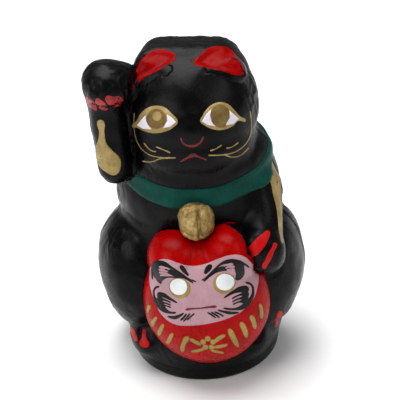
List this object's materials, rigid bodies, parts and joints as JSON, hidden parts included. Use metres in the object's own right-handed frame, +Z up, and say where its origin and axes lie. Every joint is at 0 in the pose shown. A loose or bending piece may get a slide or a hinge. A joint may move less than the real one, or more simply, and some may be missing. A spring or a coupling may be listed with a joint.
{
  "type": "beckoning cat figurine",
  "caption": "Seated black papier-mache beckoning cat, right paw raised, that holds a round red lucky doll against its chest, with a teal collar, a gilt bell and red inner ears.",
  "frame": {"origin": "centre of the base's flat underside", "axes": "+Z up; the cat looks along -Y; its own right arm, the raised one, is on the -X side"},
  "size_m": [0.106, 0.0996, 0.168],
  "materials": {
    "black_lacquered_paper": "moulded paper under semi-gloss black lacquer",
    "black_lacquered_strip": "pasted paper strip under semi-gloss black lacquer",
    "ear_paper": "folded paper, red lacquer inside and black outside",
    "rolled_paper": "rolled paper under semi-gloss black lacquer, gilt at the tip",
    "red_lacquered_paper": "moulded paper under glossy red lacquer with a painted face",
    "teal_painted_paper": "pasted paper band in satin teal paint",
    "gilt_clay": "pressed clay in dull gold paint",
    "base_card": "bare grey-brown card",
    "fired_clay": "unglazed fired clay"
  },
  "bodies": {
    "root": {"front_shell": "black_lacquered_paper", "back_shell": "black_lacquered_paper", "seam_strip_crown": "black_lacquered_strip", "seam_strip_right": "black_lacquered_strip", "seam_strip_left": "black_lacquered_strip", "base_rim_strip": "black_lacquered_strip", "raised_arm_front_shell": "black_lacquered_paper", "raised_arm_back_shell": "black_lacquered_paper", "raised_arm_seam_strip": "black_lacquered_strip", "ear_right": "ear_paper", "ear_left": "ear_paper", "tail": "rolled_paper", "doll_shell": "red_lacquered_paper", "collar_band": "teal_painted_paper", "bell": "gilt_clay", "base_board": "base_card", "base_weight": "fired_clay"}
  },
  "joints": []
}
